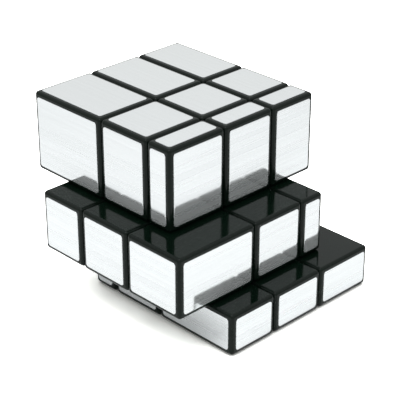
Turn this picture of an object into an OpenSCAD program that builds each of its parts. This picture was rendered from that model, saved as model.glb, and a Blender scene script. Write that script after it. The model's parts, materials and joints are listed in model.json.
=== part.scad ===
// Twisty puzzle of twenty-six black blocks with silver foil faces, turning on a six-armed core.
// Every outer layer has its own thickness, so turning a layer makes the cube stepped.
// Frame: millimetres, +Z up, -Y front. The origin is where the upright turning axis meets the
// resting plane. The core's centre lies straight above it.

/* [Solved cube] */
// Thickness of the three middle slices, and width of every centre block
pitch = 19; // [18.8:0.1:19.4]
// Thickness of the left layer
left_t = 29; // [9:1:30]
// Thickness of the front layer
front_t = 21; // [9:1:30]
// Thickness of the right layer
right_t = 9; // [9:1:30]
// Thickness of the back layer
back_t = 17; // [9:1:30]
// Thickness of the top layer
top_t = 25; // [13:1:30]
// Thickness of the bottom layer
bottom_t = 13; // [13:1:30]

/* [Layers as drawn] */
// Quarter turns of the top layer from solved, anticlockwise from above
top_turns = -1; // [-1:1:2]
// Quarter turns of the bottom layer from solved, anticlockwise from above
bottom_turns = 1; // [-1:1:2]

/* [Blocks] */
// Running gap between neighbouring pieces
gap = 0.2; // [0.16:0.02:0.24]
// Wall of a block's shell
wall = 1.5; // [1.2:0.1:1.6]
// Chamfer along every edge of a block
edge_break = 0.6; // [0.4:0.1:0.7]
// Clearance of a tongue in its shell, on each side
fit_gap = 0.05; // [0.04:0.01:0.06]
// How far tongues reach into the shells, from the core's centre planes
tongue_end = 16.8; // [16.5:0.1:16.8]
// Where the square plug of a corner base ends, from the core's centre planes
plug_end = 14.5; // [14:0.1:15]

/* [Foil faces] */
// Thickness of the foil
foil_t = 0.2; // [0.15:0.01:0.25]
// Bare rim between the foil and the edge of its block
foil_margin = 1.45; // [1.1:0.05:1.6]
// Radius of the foil's corners
foil_corner = 0.9; // [0.6:0.1:1.2]

/* [Feet and necks] */
// Radii of the spheres on which the hidden parts slide over each other
sphere_1 = 11; // [10.9:0.05:11.1]
sphere_2 = 14; // [13.95:0.05:14.05]
sphere_3 = 17; // [16.95:0.05:17.05]
sphere_4 = 19.9; // [19.8:0.05:20]
// Distance of the cut planes from the core between spheres 1 and 2, where the edge feet run
cut_1 = 4.4; // [4.3:0.05:4.5]
// Distance of the cut planes between spheres 2 and 3, where the corner feet run
cut_2 = 6.6; // [6.5:0.05:6.7]
// Distance of the cut planes between spheres 3 and 4, at the necks
cut_3 = 8.4; // [8.3:0.05:8.4]

/* [Core and centre screws] */
// Diameter of the ball in the middle of the core
ball_d = 10; // [9.6:0.1:10.4]
// Diameter of the core's six arms
arm_d = 6.8; // [6.4:0.1:7]
// Distance from the core's centre to the tip of an arm
arm_end = 7; // [6.8:0.05:7]
// Diameter of a centre's hub, which turns against the arm's tip
hub_d = 8.2; // [8:0.05:8.4]
// Thickness of the floor that the spring presses on
floor_t = 1.8; // [1.6:0.1:2]
// Diameter of the spring's well in the hub
well_d = 6.6; // [6.5:0.05:6.7]
// Diameter of a screw's shank
screw_d = 2.9; // [2.8:0.05:3]
// Distance from the core's centre to a screw's point
screw_tip = 2.6; // [2.5:0.1:3]
// Radial clearance of the shank in the hub's floor
screw_run = 0.08; // [0.06:0.01:0.1]
// Radial clearance of the shank in the core's arm
screw_grip = 0.03; // [0.02:0.01:0.04]
// Diameter of a screw's head
head_d = 5; // [4.8:0.1:5.4]
// Height of a screw's head
head_h = 2; // [1.8:0.1:2.1]
// Distance from the core's centre to the underside of a screw's head
head_seat = 13.9; // [13.8:0.05:14]
// Diameter of a washer
washer_d = 6.2; // [6:0.1:6.2]
// Thickness of a washer
washer_t = 0.5; // [0.4:0.1:0.6]
// Outside diameter of a spring
spring_d = 6; // [5.8:0.1:6.1]
// Diameter of the spring's wire
wire_d = 0.6; // [0.5:0.05:0.6]
// Turns of a spring
spring_turns = 4; // [3:1:4]

/* [Hidden] */
$fn = 96;
run = gap / 2;
half = pitch / 2;
core_z = half + bottom_t + foil_t;
// Plane on which a centre's cap sits on its base, and the inside height from which it is hollow
cap_seat = sphere_3 + 4 * run;
cap_thin = 18.5;

// Centres: name, turn that carries +Z to their side, thickness of their layer
LEFT = 0;
FRONT = 1;
RIGHT = 2;
BACK = 3;
SOLVED = [left_t, front_t, right_t, back_t];
LAYER_TURNS = [bottom_turns, 0, top_turns];
SIDES = [
    ["top", [0, 0, 0], top_t],
    ["bottom", [180, 0, 0], bottom_t],
    ["left", [0, -90, 0], side_thickness(0, LEFT)],
    ["front", [90, 0, 0], side_thickness(0, FRONT)],
    ["right", [0, 90, 0], side_thickness(0, RIGHT)],
    ["back", [-90, 0, 0], side_thickness(0, BACK)],
];

// Blocks are named by their place: x, y and z are each -1, 0 or 1
CELLS = [for (z = [1, 0, -1]) for (y = [-1, 0, 1]) for (x = [-1, 0, 1]) [x, y, z]];
EDGES = [for (c = CELLS) if (outward_faces(c) == 2) c];
CORNERS = [for (c = CELLS) if (outward_faces(c) == 3) c];

// Colours
BLACK = [0.07, 0.07, 0.08];
SILVER = [0.86, 0.87, 0.88];
STEEL = [0.6, 0.61, 0.63];

// Layout of the blocks

function outward_faces(c) = abs(c.x) + abs(c.y) + abs(c.z);

function place_name(c) = str(
    c.z > 0 ? "top" : c.z < 0 ? "bottom" : "middle",
    c.y > 0 ? "_back" : c.y < 0 ? "_front" : "",
    c.x > 0 ? "_right" : c.x < 0 ? "_left" : ""
);

// Thickness of an upright side of layer z, with that layer turned as drawn
function side_thickness(z, side) = SOLVED[(side - LAYER_TURNS[z + 1] + 4) % 4];

function thickness(c, axis) =
    axis == 0 ? side_thickness(c.z, c.x < 0 ? LEFT : RIGHT)
    : axis == 1 ? side_thickness(c.z, c.y < 0 ? FRONT : BACK)
    : c.z < 0 ? bottom_t : top_t;

// Corners of block c nearest to and furthest from the core, measured along its outward directions
function near(c) = [for (a = [0:2]) c[a] == 0 ? run - half : run + half];
function far(c) = [for (a = [0:2]) c[a] == 0 ? half - run : half + thickness(c, a)];

// Building blocks

module box(low, high) {
    translate(low) cube(high - low);
}

// Extrudes a flat outline along an axis. The outline's x and y are the next two axes in turn.
module extrude_along(axis, start, end) {
    rotate([[90, 0, 90], [-90, -90, 0], [0, 0, 0]][axis])
        translate([0, 0, start])
            linear_extrude(end - start)
                children();
}

module chamfered_rectangle(low, high, e) {
    polygon([
        [low.x + e, low.y], [high.x - e, low.y], [high.x, low.y + e], [high.x, high.y - e],
        [high.x - e, high.y], [low.x + e, high.y], [low.x, high.y - e], [low.x, low.y + e],
    ]);
}

module chamfered_prism(axis, low, high, e) {
    u = (axis + 1) % 3;
    v = (axis + 2) % 3;
    extrude_along(axis, low[axis], high[axis])
        chamfered_rectangle([low[u], low[v]], [high[u], high[v]], e);
}

module chamfered_box(low, high, e) {
    intersection() {
        chamfered_prism(0, low, high, e);
        chamfered_prism(1, low, high, e);
        chamfered_prism(2, low, high, e);
    }
}

// Rectangle with corners of radius r, each drawn in three chords
module rounded_rectangle(low, high, r) {
    chord = 30;
    quarters = [
        [high.x - r, high.y - r, 0], [low.x + r, high.y - r, 90],
        [low.x + r, low.y + r, 180], [high.x - r, low.y + r, 270],
    ];
    polygon([
        for (q = quarters)
            for (a = [0:chord:90])
                [q[0] + r * cos(q[2] + a), q[1] + r * sin(q[2] + a)]
    ]);
}

// Foil on the outward face of a block, across the given axis
module foil(axis, low, high) {
    u = (axis + 1) % 3;
    v = (axis + 2) % 3;
    m = foil_margin;
    extrude_along(axis, high[axis], high[axis] + foil_t)
        rounded_rectangle([low[u] + m, low[v] + m], [high[u] - m, high[v] - m], foil_corner);
}

// Puts what is drawn about the core's centre at its height
module at_core() {
    translate([0, 0, core_z]) children();
}

// Mirrors what is drawn for the positive directions to block c
module at_cell(c) {
    at_core()
        mirror([c.x < 0 ? 1 : 0, 0, 0])
            mirror([0, c.y < 0 ? 1 : 0, 0])
                mirror([0, 0, c.z < 0 ? 1 : 0])
                    children();
}

// Part of a ball beyond the cut planes at "out" along a block's outward directions, and
// between the cut planes at "side" along its other direction
module ball_sector(c, out, side, r) {
    intersection() {
        sphere(r);
        box(
            [for (a = [0:2]) c[a] == 0 ? run - side : out + run],
            [for (a = [0:2]) c[a] == 0 ? side - run : r]
        );
    }
}

// Core, screws, washers and springs

module core() {
    arm_hole_r = screw_d / 2 + screw_grip;
    point_room = 0.3;
    color(BLACK) at_core() difference() {
        union() {
            sphere(d = ball_d);
            for (s = SIDES) rotate(s[1]) cylinder(d = arm_d, h = arm_end);
        }
        for (s = SIDES) rotate(s[1]) translate([0, 0, screw_tip - point_room])
            cylinder(r = arm_hole_r, h = arm_end);
    }
}

module screw() {
    crown = 0.6;
    slot_w = 0.7;
    slot_l = 2.8;
    slot_depth = 1.2;
    head_top = head_seat + head_h;
    difference() {
        union() {
            translate([0, 0, screw_tip]) cylinder(d = screw_d, h = head_seat - screw_tip + crown);
            translate([0, 0, head_seat]) cylinder(d = head_d, h = head_h - crown);
            translate([0, 0, head_top - crown])
                cylinder(d1 = head_d, d2 = head_d - 2 * crown, h = crown);
        }
        for (a = [0, 90]) rotate([0, 0, a]) translate([0, 0, head_top])
            cube([slot_l, slot_w, 2 * slot_depth], center = true);
    }
}

module centre_screws() {
    color(STEEL) at_core() for (s = SIDES) rotate(s[1]) screw();
}

module centre_washers() {
    color(STEEL) at_core() for (s = SIDES) rotate(s[1])
        translate([0, 0, head_seat - washer_t]) difference() {
            cylinder(d = washer_d, h = washer_t);
            translate([0, 0, -washer_t])
                cylinder(r = screw_d / 2 + screw_run, h = 3 * washer_t);
        }
}

// Coil of round wire between two heights, as rings of points along a helix
module coil(low, high) {
    ring = 6;
    per_turn = 14;
    rings = per_turn * spring_turns;
    r = (spring_d - wire_d) / 2;
    rise = high - low - wire_d;
    points = [
        for (i = [0:rings])
            for (j = [0:ring - 1])
                let (
                    turn = 360 * i / per_turn,
                    round = 360 * j / ring,
                    out = r + wire_d / 2 * cos(round),
                    z = low + wire_d / 2 + rise * i / rings + wire_d / 2 * sin(round)
                )
                [out * cos(turn), out * sin(turn), z]
    ];
    sides = [
        for (i = [0:rings - 1])
            for (j = [0:ring - 1])
                let (
                    k = (j + 1) % ring,
                    a = i * ring,
                    b = a + ring
                )
                each [[a + j, b + j, b + k], [a + j, b + k, a + k]]
    ];
    start_cap = [for (j = [0:ring - 1]) j];
    end_cap = [for (j = [ring - 1:-1:0]) rings * ring + j];
    polyhedron(points, concat(sides, [start_cap, end_cap]));
}

module spring(s) {
    play = 0.03;
    floor_top = arm_end + run + floor_t;
    color(STEEL) at_core() rotate(s[1])
        coil(floor_top + play, head_seat - washer_t - play);
}

// Centres

// Square prism about the centre's axis, outside one sphere and inside the outermost
module flange(half_w, sphere_r, start, end) {
    intersection() {
        box([-half_w, -half_w, start], [half_w, half_w, end]);
        difference() {
            sphere(sphere_4 - run);
            sphere(sphere_r + run);
        }
    }
}

module centre_base(s) {
    hub_start = arm_end + run;
    hub_overlap = 1;
    hub_h = sphere_1 + hub_overlap - hub_start;
    hollow_half = half - run - wall;
    reach = half + s[2];
    tongue_h = 1.8;
    color(BLACK) at_core() rotate(s[1]) difference() {
        union() {
            translate([0, 0, hub_start]) cylinder(d = hub_d, h = hub_h);
            box([run - cut_1, run - cut_1, sphere_1 + run], [cut_1 - run, cut_1 - run, cap_seat]);
            flange(cut_2 - run, sphere_2, sphere_2 - cut_1, cap_seat);
            flange(cut_3 - run, sphere_3, sphere_3 - cut_2, cap_seat);
            if (reach - wall > cap_thin)
                box(
                    [fit_gap - hollow_half, fit_gap - hollow_half, cap_seat - wall],
                    [hollow_half - fit_gap, hollow_half - fit_gap, cap_seat + tongue_h]
                );
        }
        translate([0, 0, hub_start + floor_t]) cylinder(d = well_d, h = reach);
        cylinder(r = screw_d / 2 + screw_run, h = reach);
    }
}

module centre_cap(s) {
    block_half = half - run;
    hollow_half = block_half - wall;
    plate_half = cut_3 - run;
    reach = half + s[2];
    start = sphere_3 - cut_1;
    boss_h = 0.9;
    color(BLACK) at_core() rotate(s[1]) {
        difference() {
            union() {
                difference() {
                    chamfered_box(
                        [-block_half, -block_half, start],
                        [block_half, block_half, reach],
                        edge_break
                    );
                    sphere(sphere_4 + run);
                }
                box(
                    [-plate_half, -plate_half, cap_seat],
                    [plate_half, plate_half, min(reach, sphere_4 + 2 * run)]
                );
            }
            if (reach - wall > cap_thin)
                box(
                    [-hollow_half, -hollow_half, start],
                    [hollow_half, hollow_half, reach - wall]
                );
        }
        if (reach - wall <= cap_thin)
            translate([0, 0, cap_seat - boss_h])
                cylinder(r = well_d / 2 - fit_gap, h = boss_h + wall / 2);
    }
}

module centre_foil(s) {
    block_half = half - run;
    reach = half + s[2];
    color(SILVER) at_core() rotate(s[1])
        foil(2, [-block_half, -block_half, 0], [block_half, block_half, reach]);
}

// Edges

module edge_shell(c) {
    inset = [wall, wall, wall];
    color(BLACK) at_cell(c) difference() {
        chamfered_box(near(c), far(c), edge_break);
        box(near(c) + inset, far(c) - inset);
        sphere(sphere_4 + run);
    }
}

// Foot under two centres, collar under two corners' necks, then neck and tongue
module edge_base(c) {
    slack = wall + fit_gap;
    at_cell(c) {
        difference() {
            union() {
                ball_sector(c, cut_1, cut_1, sphere_2 - run);
                ball_sector(c, cut_2, cut_1, (sphere_2 + sphere_3) / 2);
            }
            sphere(sphere_1 + run);
        }
        difference() {
            union() {
                ball_sector(c, cut_2, cut_2, sphere_3 - run);
                ball_sector(c, cut_3, cut_2, (sphere_3 + sphere_4) / 2);
            }
            sphere(sphere_2 + run);
        }
        difference() {
            union() {
                ball_sector(c, cut_3, cut_3, sphere_4 - run);
                box(
                    near(c) + [slack, slack, slack],
                    [for (a = [0:2]) c[a] == 0 ? half - run - slack : tongue_end]
                );
            }
            sphere(sphere_3 + run);
        }
    }
}

module edge_bases(z) {
    color(BLACK) for (c = EDGES) if (c.z == z) edge_base(c);
}

// Corners

module corner_shell(c) {
    inset = [wall, wall, wall];
    notch = plug_end + fit_gap;
    color(BLACK) at_cell(c) difference() {
        chamfered_box(near(c), far(c), edge_break);
        box(near(c) + inset, far(c) - inset);
        cube(notch);
        sphere(sphere_4 + run);
    }
}

// Foot under three edges, then neck, plug and tongue
module corner_base(c) {
    slack = wall + fit_gap;
    at_cell(c) difference() {
        union() {
            ball_sector(c, cut_2, cut_2, sphere_3 - run);
            ball_sector(c, cut_3, cut_3, sphere_4 - run);
            box(near(c), [plug_end, plug_end, plug_end]);
            box(near(c) + [slack, slack, slack], [tongue_end, tongue_end, tongue_end]);
        }
        sphere(sphere_2 + run);
    }
}

module corner_bases(z) {
    color(BLACK) for (c = CORNERS) if (c.z == z) corner_base(c);
}

// Foils of a layer's edges and corners, one on every outward face across the given axes
module layer_foils(z, axes) {
    color(SILVER)
        for (c = concat(EDGES, CORNERS)) if (c.z == z)
            at_cell(c)
                for (axis = axes) if (c[axis] != 0) foil(axis, near(c), far(c));
}

core();
centre_screws();
centre_washers();
for (s = SIDES) {
    spring(s);
    centre_base(s);
    centre_cap(s);
    centre_foil(s);
}
for (c = EDGES) edge_shell(c);
for (c = CORNERS) corner_shell(c);
edge_bases(1);  // top_edge_bases
edge_bases(0);  // middle_edge_bases
edge_bases(-1);  // bottom_edge_bases
corner_bases(1);  // top_corner_bases
corner_bases(-1);  // bottom_corner_bases
layer_foils(1, [0, 1, 2]);  // top_foils
layer_foils(0, [0, 1]);  // middle_foils
layer_foils(-1, [0, 1]);  // bottom_side_foils
layer_foils(-1, [2]);  // bottom_face_foils
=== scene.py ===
import json
import math
import random

import bmesh
import bpy
from mathutils import Matrix, Quaternion, Vector


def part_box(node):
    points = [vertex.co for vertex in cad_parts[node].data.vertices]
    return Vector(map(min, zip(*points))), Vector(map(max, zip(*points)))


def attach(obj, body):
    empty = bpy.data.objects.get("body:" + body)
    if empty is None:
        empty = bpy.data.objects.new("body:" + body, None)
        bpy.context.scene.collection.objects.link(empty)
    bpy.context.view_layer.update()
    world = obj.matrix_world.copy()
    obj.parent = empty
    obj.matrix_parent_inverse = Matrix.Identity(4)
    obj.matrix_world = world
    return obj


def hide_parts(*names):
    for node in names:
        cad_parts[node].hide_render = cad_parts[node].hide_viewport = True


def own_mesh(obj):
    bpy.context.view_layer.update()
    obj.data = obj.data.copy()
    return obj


# Looks of a stepped twisty puzzle: twenty-six rounded black blocks with silver foil faces, the
# springs and screws that hold the centres, and materials for the rest of the hidden mechanism.

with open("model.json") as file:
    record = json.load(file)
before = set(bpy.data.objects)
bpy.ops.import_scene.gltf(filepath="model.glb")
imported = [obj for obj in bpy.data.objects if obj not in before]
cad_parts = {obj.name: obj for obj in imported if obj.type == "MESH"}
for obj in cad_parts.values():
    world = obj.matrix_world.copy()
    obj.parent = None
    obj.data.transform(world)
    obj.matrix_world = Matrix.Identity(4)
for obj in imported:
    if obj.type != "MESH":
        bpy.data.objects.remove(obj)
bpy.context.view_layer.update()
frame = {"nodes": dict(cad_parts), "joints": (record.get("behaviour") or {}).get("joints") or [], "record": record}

# Sizes are in metres
MM = 0.001

# The blocks: their rounded edges and walls, the ball round the core that they stay out of, and the
# distance from the core's centre planes at which the plugs of the corner bases end
EDGE_RADIUS = 1.05 * MM
EDGE_STEPS = 4
SHELL_WALL = 1.5 * MM
FREE_BALL_RADIUS = 20 * MM
BALL_SEGMENTS = 96
PLUG_REACH = 14.55 * MM

# The centre caps, with distances from the core's centre. A cap whose hollow would end below CAP_THIN
# is solid. CAP_LEG is how far the walls reach below a cap's box before the ball trims them.
CAP_SEAT = 17.4 * MM
CAP_PLATE_TOP = 20.1 * MM
CAP_PLATE_HALF = 8.3 * MM
CAP_THIN = 18.5 * MM
CAP_LEG = 3 * MM

# The foils: bare rim round them, thickness, rounded corners, softened edge and shaded rim
FOIL_MARGIN = 1.45 * MM
FOIL_THICKNESS = 0.2 * MM
FOIL_CORNER = 0.9 * MM
FOIL_SOFT_EDGE = 0.08 * MM
FOIL_RIM = 0.5 * MM
ARC_STEPS = 6

# The screws, with heights along their axis from the core's centre
SCREW_RADIUS = 1.45 * MM
SCREW_TIP = 2.6 * MM
POINT_LENGTH = 1.2 * MM
POINT_SHARE = 0.5
THREAD_PITCH = 1 * MM
THREAD_DEPTH = 0.3 * MM
THREAD_END = 8.6 * MM
THREAD_FLANK = 0.42
STEPS_PER_PITCH = 12
SCREW_SIDES = 36
HEAD_SEAT = 13.9 * MM
HEAD_HEIGHT = 2 * MM
RECESS_LENGTH = 2.8 * MM
RECESS_WIDTH = 0.7 * MM
RECESS_DEPTH = 1.2 * MM

# Radius and height above the seat, in millimetres, along the screw head's outline
HEAD_OUTLINE = [(2.35, 0), (2.5, 0.15), (2.5, 1.3), (2.42, 1.45), (2.15, 1.75), (1.7, 1.93), (1.1, 2)]

# The spring's wire and turns
WIRE_RADIUS = 0.3 * MM
SPRING_TURNS = 4
CLOSED_TURNS = 0.75
STEPS_PER_TURN = 36
WIRE_SIDES = 12

# Angle between faces from which the edge is shaded as a sharp one
SHARP_ANGLE = math.radians(35)

# Noise patterns, as features per metre along x, y and z, and the range that noise mostly fills
SMUDGES = (90, 90, 90)
SPECKLE = (900, 900, 900)
RIPPLE = (160, 160, 160)
SIDE_GRAIN = (16, 16, 1100)
TOP_GRAIN = (1100, 16, 16)
BROAD_GRAIN = (12, 12, 380)
FOIL_CLOUDS = (55, 55, 55)
MOULD_CLOUDS = (120, 120, 120)
MOULD_SKIN = (2200, 2200, 2200)
STEEL_PATCHES = (350, 350, 350)
FLOOR_MOTTLE = (12, 12, 12)
NOISE_RANGE = (0.3, 0.7)

# Gloss plastic: colour levels, roughness, shine, the effect of rubbing, and depth of its relief
BLACK_TINT = (0.4, 1.4, 0.8)
BLACK_DARK = 0.003
BLACK_LIGHT = 0.006
BLACK_WORN = 0.012
BLACK_WEAR = (0.1, 0.6)
BLACK_ROUGHNESS = (0.08, 0.16)
BLACK_SHINE = 0.17
RUBBED_HAZE = 0.05
RUBBED_SHINE_LOSS = 0.04
RUBBED_FACING = (-0.3, 0.1)
RIPPLE_DEPTH = 0.005 * MM
SPECKLE_DEPTH = 0.0008 * MM

# Silver foil: colour levels, how far streaks, tones and rims shade it, metal share and relief
FOIL_TINT = (0.965, 1, 1)
FOIL_BRIGHT = 0.875
FOIL_STREAKED = 0.81
FOIL_SHADED = 0.5
FOIL_RIM_LEVEL = 0.4
STREAK_RANGE = (0.0, 0.5)
TOP_STREAK_LOSS = 0.35
TONE_SHARE = 0.03
RIM_SHARE = 0.06
FOIL_METAL = 0.79
STREAK_METAL_LOSS = 0.1
FOIL_ROUGHNESS = (0.07, 0.1)
GRAIN_ROUGHNESS = (-0.01, 0.02)
FOIL_WAVE_DEPTH = 0.006 * MM
GRAIN_DEPTH = 0.0004 * MM

# Moulded plastic and steel: roughness and depth of their relief
MOULD_ROUGHNESS = (0.36, 0.5)
MOULD_SKIN_DEPTH = 0.006 * MM
STEEL_ROUGHNESS = (0.2, 0.3)
PATCH_ROUGHNESS = (0, 0.08)
STEEL_MARK_DEPTH = 0.004 * MM

# Heights, as sines, between which the sky brightens and between which it cools
SKY_BRIGHTENS = (0.15, 0.55)
SKY_COOLS = (0.3, 0.5)

# Tints of the studio light near the horizon and high up
WARM_TINT = (1, 1, 0.985)
COOL_TINT = (0.99, 1, 1.018)

# Reach, depth and missing blue of the soft contact shadow painted into the floor's colour under the puzzle
CONTACT_REACH = 10 * MM
CONTACT_DEPTH = 0.7
CONTACT_SAMPLES = 16
SHADOW_WARMTH = 0.04

# Distances from the puzzle between which the floor's mirrored brightness falls off, a pool of light painted into
# the floor's colour
PAINTED_POOL_RANGE = (60 * MM, 160 * MM)

# How much the floor's brightness varies
FLOOR_VARIATION = (0.99, 1.01)

# Direction words in the names of nodes, as axis and sign
DIRECTIONS = {
    "left": (0, -1),
    "right": (0, 1),
    "front": (1, -1),
    "back": (1, 1),
    "bottom": (2, -1),
    "top": (2, 1),
}

TONE_SEED = 7
random_tones = random.Random(TONE_SEED)


# Geometry helpers


def outward(node):
    """The (axis, sign) of each direction in a node's name."""
    return [DIRECTIONS[word] for word in node.split("_") if word in DIRECTIONS]


def unit(axis, sign):
    direction = Vector((0, 0, 0))
    direction[axis] = sign
    return direction


def joint(name):
    return next(j for j in frame["joints"] if j["name"] == name)


def body_with(node):
    """The body that carries a CAD node."""
    bodies = frame["record"]["behaviour"]["bodies"]
    return next(body for body, nodes in bodies.items() if node in nodes)


def new_object(name, bm):
    mesh = bpy.data.meshes.new(name)
    bm.to_mesh(mesh)
    bm.free()
    made = bpy.data.objects.new(name, mesh)
    bpy.context.scene.collection.objects.link(made)
    return made


def stand_in(piece, node, material):
    """Puts piece in a CAD node's place, on its body and in its material slot."""
    piece.data.materials.append(material)
    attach(piece, body_with(node))
    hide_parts(node)


def smooth(piece):
    """Smooth shading that leaves sharp corners sharp and flat faces flat."""
    for polygon in piece.data.polygons:
        polygon.use_smooth = True
    piece.data.set_sharp_from_angle(angle=SHARP_ANGLE)
    modifier = piece.modifiers.new("even_shading", "WEIGHTED_NORMAL")
    modifier.keep_sharp = True


def add_box(bm, low, high):
    made = bmesh.ops.create_cube(bm, size=1)["verts"]
    bmesh.ops.scale(bm, vec=high - low, verts=made)
    bmesh.ops.translate(bm, vec=(low + high) / 2, verts=made)


def bridge(bm, rings):
    """Closes a stack of rings of points, given from low to high, into a solid."""
    for lower, upper in zip(rings, rings[1:]):
        for i in range(len(lower)):
            k = (i + 1) % len(lower)
            bm.faces.new((lower[i], lower[k], upper[k], upper[i]))
    bm.faces.new(rings[0][::-1])
    bm.faces.new(rings[-1])


def box_tool(low, high):
    bm = bmesh.new()
    add_box(bm, low, high)
    return new_object("tool", bm)


def ball_tool(centre, radius):
    bm = bmesh.new()
    bmesh.ops.create_uvsphere(bm, u_segments=BALL_SEGMENTS, v_segments=BALL_SEGMENTS // 2, radius=radius)
    bmesh.ops.translate(bm, vec=centre, verts=bm.verts)
    return new_object("tool", bm)


def carve(piece, cuts):
    """Applies (operation, tool) pairs to a piece."""
    for operation, tool in cuts:
        modifier = piece.modifiers.new("cut", "BOOLEAN")
        modifier.operation = operation
        modifier.solver = "EXACT"
        modifier.object = tool
    graph = bpy.context.evaluated_depsgraph_get()
    carved = bpy.data.meshes.new_from_object(piece.evaluated_get(graph))
    piece.modifiers.clear()
    piece.data = carved
    for _, tool in cuts:
        bpy.data.objects.remove(tool)


# Blocks


def rounded_block(name, low, high):
    bm = bmesh.new()
    add_box(bm, low, high)
    bmesh.ops.bevel(
        bm,
        geom=bm.edges[:],
        offset=EDGE_RADIUS,
        offset_type="OFFSET",
        segments=EDGE_STEPS,
        profile=0.5,
        affect="EDGES",
    )
    return new_object(name, bm)


def mark_rim(piece, low, high):
    """Stores how far each point lies round an outer edge: 0 on the flats, nearly 1 mid-edge."""
    rim = piece.data.attributes.new("rim", "FLOAT", "POINT")
    for vertex, value in zip(piece.data.vertices, rim.data):
        depths = sorted(min(vertex.co[a] - low[a], high[a] - vertex.co[a]) for a in range(3))
        value.value = max(0.0, 1 - depths[1] / EDGE_RADIUS)


def block(node, core_centre, material):
    """An edge or corner block: a rounded shell, open towards the core."""
    low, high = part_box(node)
    piece = rounded_block(node.replace("_shell", "_block"), low, high)
    wall = Vector((SHELL_WALL,) * 3)
    cuts = [
        ("DIFFERENCE", box_tool(low + wall, high - wall)),
        ("DIFFERENCE", ball_tool(core_centre, FREE_BALL_RADIUS)),
    ]
    if "corner" in node:
        plug_end = core_centre + sum((unit(a, s) * PLUG_REACH for a, s in outward(node)), Vector())
        plug_low = Vector(map(min, core_centre, plug_end))
        plug_high = Vector(map(max, core_centre, plug_end))
        cuts.append(("DIFFERENCE", box_tool(plug_low, plug_high)))
    carve(piece, cuts)
    mark_rim(piece, low, high)
    smooth(piece)
    stand_in(piece, node, material)


def span(centre, axis, sign, start, end, half):
    """Corners of a square prism along an axis, between two distances from centre."""
    near = centre[axis] + sign * start
    far = centre[axis] + sign * end
    low = centre - Vector((half,) * 3)
    high = centre + Vector((half,) * 3)
    low[axis] = min(near, far)
    high[axis] = max(near, far)
    return low, high


def centre_block(node, core_centre, material):
    """A centre's cap, hollow where its layer is thick enough."""
    axis, sign = outward(node)[0]
    low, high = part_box(node)
    side = (axis + 1) % 3
    half = (high[side] - low[side]) / 2
    ends = sorted((abs(low[axis] - core_centre[axis]), abs(high[axis] - core_centre[axis])))
    leg, reach = ends[0] - CAP_LEG, ends[1]
    hollow_end = reach - SHELL_WALL
    low, high = span(core_centre, axis, sign, leg, reach, half)
    piece = rounded_block(node.replace("_cap", "_block"), low, high)
    plate_top = min(CAP_PLATE_TOP, reach)
    plate = box_tool(*span(core_centre, axis, sign, CAP_SEAT, plate_top, CAP_PLATE_HALF))
    cuts = [("DIFFERENCE", ball_tool(core_centre, FREE_BALL_RADIUS)), ("UNION", plate)]
    if hollow_end > CAP_THIN:
        hollow = box_tool(*span(core_centre, axis, sign, leg, hollow_end, half - SHELL_WALL))
        cuts.append(("DIFFERENCE", hollow))
    carve(piece, cuts)
    mark_rim(piece, low, high)
    smooth(piece)
    stand_in(piece, node, material)


# Foils


def foil_outline(low, high, inset):
    """Rounded rectangle, anticlockwise, drawn in by inset."""
    r = FOIL_CORNER
    quarters = [
        (high[0] - r, high[1] - r, 0),
        (low[0] + r, high[1] - r, 90),
        (low[0] + r, low[1] + r, 180),
        (high[0] - r, low[1] + r, 270),
    ]
    points = []
    for x, y, start in quarters:
        for i in range(ARC_STEPS + 1):
            angle = math.radians(start + 90 * i / ARC_STEPS)
            points.append((x + (r - inset) * math.cos(angle), y + (r - inset) * math.sin(angle)))
    return points


def add_foil(bm, low, high, axis, sign):
    """A thin plate with rounded corners and a softened edge on one side of a block's box."""
    u, v = (axis + 1) % 3, (axis + 2) % 3
    face = high[axis] if sign > 0 else low[axis]
    flat_low = (low[u] + FOIL_MARGIN, low[v] + FOIL_MARGIN)
    flat_high = (high[u] - FOIL_MARGIN, high[v] - FOIL_MARGIN)
    soft = FOIL_SOFT_EDGE
    eased = soft * (1 - math.sqrt(0.5))
    levels = [
        (0, 0, 1),
        (0, FOIL_THICKNESS - soft, 1),
        (eased, FOIL_THICKNESS - eased, 1),
        (soft, FOIL_THICKNESS, 1),
        (FOIL_RIM, FOIL_THICKNESS, 0),
    ]
    rim_layer = bm.verts.layers.float["rim"]
    tone_layer = bm.verts.layers.float["tone"]
    tone = random_tones.uniform(-1, 1)
    rings = []
    for inset, height, rim in levels:
        ring = []
        for x, y in foil_outline(flat_low, flat_high, inset):
            place = Vector((0, 0, 0))
            place[u], place[v], place[axis] = x, y, face + sign * height
            vertex = bm.verts.new(place)
            vertex[rim_layer] = rim
            vertex[tone_layer] = tone
            ring.append(vertex)
        rings.append(ring if sign > 0 else ring[::-1])
    bridge(bm, rings)


def foils(name, node, faces, material):
    """One piece holding a foil on each of the given faces, each as (box corners, axis, sign)."""
    bm = bmesh.new()
    bm.verts.layers.float.new("rim")
    bm.verts.layers.float.new("tone")
    for (low, high), axis, sign in faces:
        add_foil(bm, low, high, axis, sign)
    piece = new_object(name, bm)
    smooth(piece)
    stand_in(piece, node, material)


def layer_faces(layer, axes):
    """Every outward face, across the given axes, of the edge and corner blocks of a layer."""
    shells = [n for n in sorted(frame["nodes"]) if n.startswith(layer) and n.endswith("_shell")]
    return [(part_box(n), a, s) for n in shells for a, s in outward(n) if a in axes]


# Springs and screws


def turned_to(direction, centre):
    """Matrix that carries +Z at the origin to direction at centre."""
    turn = Vector((0, 0, 1)).rotation_difference(direction).to_matrix().to_4x4()
    return Matrix.Translation(centre) @ turn


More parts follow.
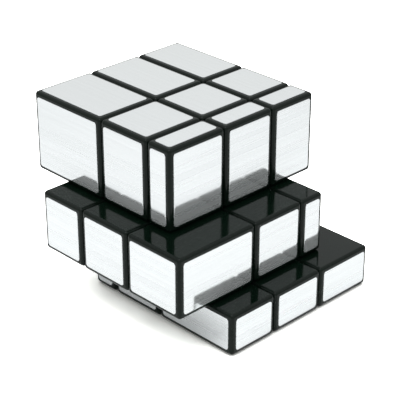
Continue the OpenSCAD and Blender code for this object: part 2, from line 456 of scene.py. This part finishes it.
def thread_radius(height, turn):
    """Radius of the thread at a height, in a direction given as a share of a turn."""
    climb = (height - SCREW_TIP) / THREAD_PITCH
    place = (climb - turn) % 1
    ridge = min(1.0, min(place, 1 - place) / THREAD_FLANK)
    runout = min(1.0, (THREAD_END - height) / THREAD_PITCH)
    point = min(1.0, POINT_SHARE + (1 - POINT_SHARE) * (height - SCREW_TIP) / POINT_LENGTH)
    return (SCREW_RADIUS - THREAD_DEPTH * runout * (1 - ridge)) * point


def screw():
    """One screw along +Z: threaded end, plain shank and a domed head with a cross recess."""
    turns = [i / SCREW_SIDES for i in range(SCREW_SIDES)]
    step = THREAD_PITCH / STEPS_PER_PITCH
    levels = []
    for i in range(round((THREAD_END - SCREW_TIP) / step) + 1):
        height = SCREW_TIP + i * step
        levels.append((height, [thread_radius(height, turn) for turn in turns]))
    levels.append((HEAD_SEAT, [SCREW_RADIUS] * SCREW_SIDES))
    for radius, rise in HEAD_OUTLINE:
        levels.append((HEAD_SEAT + rise * MM, [radius * MM] * SCREW_SIDES))
    bm = bmesh.new()
    rings = []
    for height, radii in levels:
        ring = []
        for turn, radius in zip(turns, radii):
            angle = 2 * math.pi * turn
            ring.append(bm.verts.new((radius * math.cos(angle), radius * math.sin(angle), height)))
        rings.append(ring)
    bridge(bm, rings)
    made = new_object("screw", bm)
    head_top = HEAD_SEAT + HEAD_HEIGHT
    cuts = []
    for half_x, half_y in ((RECESS_LENGTH, RECESS_WIDTH), (RECESS_WIDTH, RECESS_LENGTH)):
        low = Vector((-half_x / 2, -half_y / 2, head_top - RECESS_DEPTH))
        high = Vector((half_x / 2, half_y / 2, head_top + RECESS_DEPTH))
        cuts.append(("DIFFERENCE", box_tool(low, high)))
    carve(made, cuts)
    return made


def screw_set(core_centre, material):
    """The six screws, one from the core out to each centre."""
    model = screw()
    bm = bmesh.new()
    for axis, sign in DIRECTIONS.values():
        start = len(bm.verts)
        bm.from_mesh(model.data)
        bm.verts.ensure_lookup_table()
        turn = turned_to(unit(axis, sign), core_centre)
        bmesh.ops.transform(bm, matrix=turn, verts=bm.verts[start:])
    bpy.data.objects.remove(model)
    piece = new_object("centre_screw_set", bm)
    smooth(piece)
    stand_in(piece, "centre_screws", material)


def add_sweep(bm, centres, radius):
    """A closed round tube of radius along a line of (point, sideways direction) pairs."""
    rings = []
    for point, sideways in centres:
        ring = []
        for j in range(WIRE_SIDES):
            angle = 2 * math.pi * j / WIRE_SIDES
            offset = sideways * math.cos(angle) + Vector((0, 0, 1)) * math.sin(angle)
            ring.append(bm.verts.new(point + offset * radius))
        rings.append(ring)
    bridge(bm, [ring[::-1] for ring in rings])


def coil_height(turn, rise):
    """Height of the wire after some turns, with nearly closed turns at both ends."""
    closed_pitch = 2 * WIRE_RADIUS
    open_turns = SPRING_TURNS - 2 * CLOSED_TURNS
    open_pitch = (rise - 2 * CLOSED_TURNS * closed_pitch) / open_turns
    start = min(turn, CLOSED_TURNS) * closed_pitch
    middle = min(max(turn - CLOSED_TURNS, 0), open_turns) * open_pitch
    end = max(turn - CLOSED_TURNS - open_turns, 0) * closed_pitch
    return start + middle + end


def spring(side, core_centre, material):
    """The coil between a hub's floor and the washer."""
    node = side + "_spring"
    axis, sign = DIRECTIONS[side]
    low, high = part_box(node)
    across = (axis + 1) % 3
    coil_radius = (high[across] - low[across]) / 2 - WIRE_RADIUS
    ends = sorted((abs(low[axis] - core_centre[axis]), abs(high[axis] - core_centre[axis])))
    rise = ends[1] - ends[0] - 2 * WIRE_RADIUS
    steps = SPRING_TURNS * STEPS_PER_TURN
    centres = []
    for i in range(steps + 1):
        turn = SPRING_TURNS * i / steps
        angle = 2 * math.pi * turn
        sideways = Vector((math.cos(angle), math.sin(angle), 0))
        height = Vector((0, 0, ends[0] + WIRE_RADIUS + coil_height(turn, rise)))
        centres.append((sideways * coil_radius + height, sideways))
    bm = bmesh.new()
    add_sweep(bm, centres, WIRE_RADIUS)
    bmesh.ops.transform(bm, matrix=turned_to(unit(axis, sign), core_centre), verts=bm.verts)
    piece = new_object(side + "_coil_spring", bm)
    smooth(piece)
    stand_in(piece, node, material)
    washer_end = core_centre + unit(axis, sign) * ends[1]
    unit(axis, sign)
    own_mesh(piece)


# Materials


def add(tree, kind, inputs=None, **settings):
    """Adds a node. Each input is a value, or an output socket to link."""
    made = tree.nodes.new("ShaderNode" + kind)
    for name, value in settings.items():
        setattr(made, name, value)
    for name, value in (inputs or {}).items():
        if isinstance(value, bpy.types.NodeSocket):
            tree.links.new(value, made.inputs[name])
        else:
            made.inputs[name].default_value = value
    return made


def new_material(name):
    material = bpy.data.materials.new(name)
    material.use_nodes = True
    material.node_tree.nodes.clear()
    return material, material.node_tree


def pattern(tree, stretch, detail=2.0, roughness=0.5):
    """Noise from 0 to 1, with stretch giving its features per metre along x, y and z."""
    place = add(tree, "TexCoord").outputs["Object"]
    scaled = add(tree, "Mapping", {"Vector": place, "Scale": stretch}).outputs["Vector"]
    noise = {"Vector": scaled, "Scale": 1.0, "Detail": detail, "Roughness": roughness}
    return add(tree, "TexNoise", noise).outputs["Fac"]


def remap(tree, value, old, new=(0, 1)):
    """A value carried from one (low, high) range to another, and held inside the new one."""
    ranges = {
        "Value": value,
        "From Min": old[0],
        "From Max": old[1],
        "To Min": new[0],
        "To Max": new[1],
    }
    return add(tree, "MapRange", ranges).outputs["Result"]


def spread(tree, noise, new):
    """Noise, which mostly stays near 0.5, made to fill a (low, high) range."""
    return remap(tree, noise, NOISE_RANGE, new)


def math_node(tree, operation, first, second):
    made = add(tree, "Math", operation=operation)
    for socket, value in zip(made.inputs, (first, second)):
        if isinstance(value, bpy.types.NodeSocket):
            tree.links.new(value, socket)
        else:
            socket.default_value = value
    return made.outputs["Value"]


def mix_value(tree, share, first, second):
    inputs = {"Factor": share, "A": first, "B": second}
    return add(tree, "Mix", inputs, data_type="FLOAT").outputs["Result"]


def mix_colour(tree, share, first, second):
    made = add(tree, "Mix", data_type="RGBA")
    sockets = {"Factor_Float": share, "A_Color": first, "B_Color": second}
    for socket in made.inputs:
        if socket.identifier in sockets:
            value = sockets[socket.identifier]
            if isinstance(value, bpy.types.NodeSocket):
                tree.links.new(value, socket)
            else:
                socket.default_value = value
    return next(s for s in made.outputs if s.identifier == "Result_Color")


def bump(tree, height, depth, under=None):
    """A surface raised by up to depth metres."""
    inputs = {"Height": height, "Distance": depth, "Strength": 1.0}
    if under is not None:
        inputs["Normal"] = under
    return add(tree, "Bump", inputs).outputs["Normal"]


def attribute(tree, name):
    return add(tree, "Attribute", attribute_name=name).outputs["Fac"]


def upward_facing(tree):
    """The upward part of the surface's direction, from -1 to 1."""
    facing = add(tree, "TexCoord").outputs["Normal"]
    return add(tree, "SeparateXYZ", {"Vector": facing}).outputs["Z"]


def surface(tree, inputs):
    shader = add(tree, "BsdfPrincipled", inputs).outputs["BSDF"]
    add(tree, "OutputMaterial", {"Surface": shader})


def grey(level, tint=(1, 1, 1)):
    return (level * tint[0], level * tint[1], level * tint[2], 1.0)


def gloss_plastic():
    """Glossy black, duller and paler where it is rubbed: on the rims, unless they face down."""
    material, tree = new_material("black_gloss_plastic")
    rim = attribute(tree, "rim")
    smudges = pattern(tree, SMUDGES, detail=4)
    speckle = pattern(tree, SPECKLE, detail=2)
    upward = remap(tree, upward_facing(tree), RUBBED_FACING)
    rubbed = math_node(tree, "MULTIPLY", rim, upward)
    wear = math_node(tree, "MULTIPLY", rubbed, spread(tree, speckle, BLACK_WEAR))
    body = mix_colour(tree, smudges, grey(BLACK_DARK, BLACK_TINT), grey(BLACK_LIGHT, BLACK_TINT))
    colour = mix_colour(tree, wear, body, grey(BLACK_WORN))
    haze = math_node(tree, "MULTIPLY", rubbed, RUBBED_HAZE)
    roughness = math_node(tree, "ADD", spread(tree, smudges, BLACK_ROUGHNESS), haze)
    dulling = math_node(tree, "MULTIPLY", rubbed, RUBBED_SHINE_LOSS)
    shine = math_node(tree, "SUBTRACT", BLACK_SHINE, dulling)
    ripple = bump(tree, pattern(tree, RIPPLE, detail=3), RIPPLE_DEPTH)
    grain = bump(tree, speckle, SPECKLE_DEPTH, ripple)
    looks = {"Base Color": colour, "Roughness": roughness, "Normal": grain, "Specular IOR Level": shine}
    surface(tree, looks)
    return material


def silver_foil():
    """Brushed silver, with level streaks on the sides and fainter ones on the flat faces."""
    material, tree = new_material("silver_foil")
    rim = attribute(tree, "rim")
    tone = attribute(tree, "tone")
    upright = math_node(tree, "ABSOLUTE", upward_facing(tree), 0)
    flat_top = math_node(tree, "GREATER_THAN", upright, 0.5)
    side_grain = pattern(tree, SIDE_GRAIN, detail=2)
    top_grain = pattern(tree, TOP_GRAIN, detail=2)
    grain = mix_value(tree, flat_top, side_grain, top_grain)
    clouding = pattern(tree, FOIL_CLOUDS, detail=3)
    fine = spread(tree, grain, STREAK_RANGE)
    broad = spread(tree, pattern(tree, BROAD_GRAIN, detail=1), STREAK_RANGE)
    fade = math_node(tree, "SUBTRACT", 1.0, math_node(tree, "MULTIPLY", flat_top, TOP_STREAK_LOSS))
    streak = math_node(tree, "MULTIPLY", math_node(tree, "ADD", fine, broad), fade)
    light = mix_colour(tree, streak, grey(FOIL_BRIGHT, FOIL_TINT), grey(FOIL_STREAKED, FOIL_TINT))
    shade = math_node(tree, "MULTIPLY", math_node(tree, "ADD", tone, 1.0), TONE_SHARE)
    toned = mix_colour(tree, shade, light, grey(FOIL_SHADED))
    rim_shade = math_node(tree, "MULTIPLY", rim, RIM_SHARE)
    colour = mix_colour(tree, rim_shade, toned, grey(FOIL_RIM_LEVEL))
    cloud_part = spread(tree, clouding, FOIL_ROUGHNESS)
    roughness = math_node(tree, "ADD", cloud_part, spread(tree, grain, GRAIN_ROUGHNESS))
    waves = bump(tree, clouding, FOIL_WAVE_DEPTH)
    lines = bump(tree, grain, GRAIN_DEPTH, waves)
    metal_loss = math_node(tree, "MULTIPLY", streak, STREAK_METAL_LOSS)
    metal = math_node(tree, "SUBTRACT", FOIL_METAL, metal_loss)
    surface(tree, {"Base Color": colour, "Metallic": metal, "Roughness": roughness, "Normal": lines})
    return material


def moulded_plastic(name, dark, light):
    """Satin moulded plastic of the hidden feet, hubs and core."""
    material, tree = new_material(name)
    clouding = pattern(tree, MOULD_CLOUDS, detail=4)
    texture = pattern(tree, MOULD_SKIN, detail=2)
    colour = mix_colour(tree, clouding, grey(dark), grey(light))
    roughness = spread(tree, clouding, MOULD_ROUGHNESS)
    skin = bump(tree, texture, MOULD_SKIN_DEPTH)
    surface(tree, {"Base Color": colour, "Roughness": roughness, "Normal": skin})
    return material


def drawn_steel(name, dark, light, tint, grain):
    """Metal with drawing or turning marks."""
    material, tree = new_material(name)
    marks = pattern(tree, grain, detail=4)
    patches = pattern(tree, STEEL_PATCHES, detail=3)
    colour = mix_colour(tree, patches, grey(dark, tint), grey(light, tint))
    scored = bump(tree, marks, STEEL_MARK_DEPTH)
    mark_part = spread(tree, marks, STEEL_ROUGHNESS)
    roughness = math_node(tree, "ADD", mark_part, spread(tree, patches, PATCH_ROUGHNESS))
    surface(tree, {"Base Color": colour, "Metallic": 1.0, "Roughness": roughness, "Normal": scored})
    return material


# Assembly

core_centre = Vector(joint("top_layer_turn")["pos_m"])
plastic = gloss_plastic()
foil = silver_foil()
inner_plastic = moulded_plastic("black_inner_plastic", dark=0.012, light=0.022)
core_plastic = moulded_plastic("core_plastic", dark=0.02, light=0.035)
zinc = drawn_steel(
    "zinc_steel",
    dark=0.5,
    light=0.66,
    tint=(0.98, 1, 1.02),
    grain=(900, 900, 900),
)
spring_steel = drawn_steel(
    "spring_steel",
    dark=0.42,
    light=0.55,
    tint=(1.01, 1, 0.99),
    grain=(1500, 1500, 400),
)

for node in sorted(frame["nodes"]):
    if node.endswith("_shell"):
        block(node, core_centre, plastic)
    elif node.endswith("_cap"):
        centre_block(node, core_centre, plastic)

foils("top_layer_foils", "top_foils", layer_faces("top", (0, 1, 2)), foil)
foils("middle_layer_foils", "middle_foils", layer_faces("middle", (0, 1)), foil)
foils("bottom_layer_side_foils", "bottom_side_foils", layer_faces("bottom", (0, 1)), foil)
foils("bottom_layer_face_foils", "bottom_face_foils", layer_faces("bottom", (2,)), foil)
for side, (axis, sign) in DIRECTIONS.items():
    cap_face = (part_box(side + "_centre_cap"), axis, sign)
    foils(side + "_block_foil", side + "_centre_foil", [cap_face], foil)
    spring(side, core_centre, spring_steel)
screw_set(core_centre, zinc)

# The CAD nodes that no piece replaces keep their shape and get a finish
for node, part in frame["nodes"].items():
    if part.hide_render:
        continue
    if node == "core":
        finish = core_plastic
    elif node == "centre_washers":
        finish = zinc
    else:
        finish = inner_plastic
    part.data.materials.clear()
    part.data.materials.append(finish)


# Studio


def studio_sky(horizon, zenith, seen_level):
    """Light that grows and cools towards the zenith. The camera sees an even white backdrop."""
    world = bpy.data.worlds.new("studio")
    world.use_nodes = True
    tree = world.node_tree
    tree.nodes.clear()
    direction = add(tree, "TexCoord").outputs["Generated"]
    height = add(tree, "SeparateXYZ", {"Vector": direction}).outputs["Z"]
    lit = remap(tree, height, SKY_BRIGHTENS, (horizon, zenith))
    seen = add(tree, "LightPath").outputs["Is Camera Ray"]
    level = mix_value(tree, seen, lit, seen_level)
    rise = remap(tree, height, SKY_COOLS)
    colour = mix_colour(tree, rise, grey(1.0, WARM_TINT), grey(1.0, COOL_TINT))
    light = add(tree, "Background", {"Color": colour, "Strength": level}).outputs["Background"]
    add(tree, "OutputWorld", {"Surface": light})
    bpy.context.scene.world = world


def studio_floor(size, drop, seen_level, mirrored_near, mirrored_far):
    """An overexposed white sweep, with a contact shadow painted into its colour under the puzzle. The object
    mirrors it dimmer, and dimmer still further away: a pool of light painted round the puzzle.
    """
    bm = bmesh.new()
    bmesh.ops.create_grid(bm, x_segments=1, y_segments=1, size=size / 2)
    bmesh.ops.translate(bm, vec=(0, 0, -drop), verts=bm.verts)
    floor = new_object("studio_floor", bm)
    material, tree = new_material("pale_floor")
    place = add(tree, "TexCoord").outputs["Object"]
    distance = add(tree, "VectorMath", {0: place}, operation="LENGTH").outputs["Value"]
    # Painted pool of light: the floor colour that the object mirrors is brighter near the puzzle and dims further
    # away
    mirrored = remap(tree, distance, PAINTED_POOL_RANGE, (mirrored_near, mirrored_far))
    seen = add(tree, "LightPath").outputs["Is Camera Ray"]
    # Painted shadow: what the camera sees of the floor is darkened where the puzzle closes off the open sky nearby
    reach = {"Distance": CONTACT_REACH}
    open_sky = add(tree, "AmbientOcclusion", reach, samples=CONTACT_SAMPLES).outputs["AO"]
    contact = math_node(tree, "POWER", open_sky, CONTACT_DEPTH)
    painted_shadow_level = math_node(tree, "MULTIPLY", contact, seen_level)
    level = mix_value(tree, seen, mirrored, painted_shadow_level)
    mottling = spread(tree, pattern(tree, FLOOR_MOTTLE), FLOOR_VARIATION)
    mottled = math_node(tree, "MULTIPLY", level, mottling)
    # Painted shadow warmth: the camera sees the floor with less blue, which shows where the painted shadow darkens
    # it
    warm = math_node(tree, "SUBTRACT", 1.0, math_node(tree, "MULTIPLY", seen, SHADOW_WARMTH))
    blue = math_node(tree, "MULTIPLY", mottled, warm)
    white = add(tree, "CombineColor", {"Red": mottled, "Green": mottled, "Blue": blue}).outputs["Color"]
    paint = add(tree, "BsdfDiffuse", {"Color": white}).outputs["BSDF"]
    add(tree, "OutputMaterial", {"Surface": paint})
    floor.data.materials.append(material)


def direction_from(azimuth, elevation):
    """Direction out from the object, with azimuth 0 in front and 90 on the right."""
    a, e = math.radians(azimuth), math.radians(elevation)
    return Vector((math.sin(a) * math.cos(e), -math.cos(a) * math.cos(e), math.sin(e)))


def area_light(name, azimuth, elevation, distance, size, power):
    """A square lamp aimed at the object."""
    away = direction_from(azimuth, elevation)
    lamp = bpy.data.lights.new(name, "AREA")
    lamp.shape = "SQUARE"
    lamp.size = size
    lamp.energy = power
    made = bpy.data.objects.new(name, lamp)
    made.location = core_centre + away * distance
    made.rotation_euler = (-away).to_track_quat("-Z", "Y").to_euler()
    bpy.context.scene.collection.objects.link(made)


def studio_camera(azimuth, elevation, roll, distance, lens, shift_x, shift_y):
    away = direction_from(azimuth, elevation)
    level = (-away).to_track_quat("-Z", "Y")
    tilt = Quaternion((0, 0, 1), math.radians(roll))
    data = bpy.data.cameras.new("camera")
    data.lens = lens
    data.shift_x = shift_x
    data.shift_y = shift_y
    data.clip_start = 0.01
    made = bpy.data.objects.new("camera", data)
    made.location = core_centre + away * distance
    made.rotation_euler = (level @ tilt).to_euler()
    bpy.context.scene.collection.objects.link(made)
    bpy.context.scene.camera = made


studio_sky(horizon=0.63, zenith=0.95, seen_level=1.1)
studio_floor(size=8, drop=0.05 * MM, seen_level=2.9, mirrored_near=1.1, mirrored_far=0.93)
area_light("key", azimuth=-90, elevation=78, distance=0.9, size=0.5, power=2.4)
studio_camera(
    azimuth=-44.45,
    elevation=27.64,
    roll=0.06,
    distance=0.407,
    lens=123.6,
    shift_x=-0.0067,
    shift_y=0.016,
)
bpy.context.scene.view_settings.view_transform = "Standard"
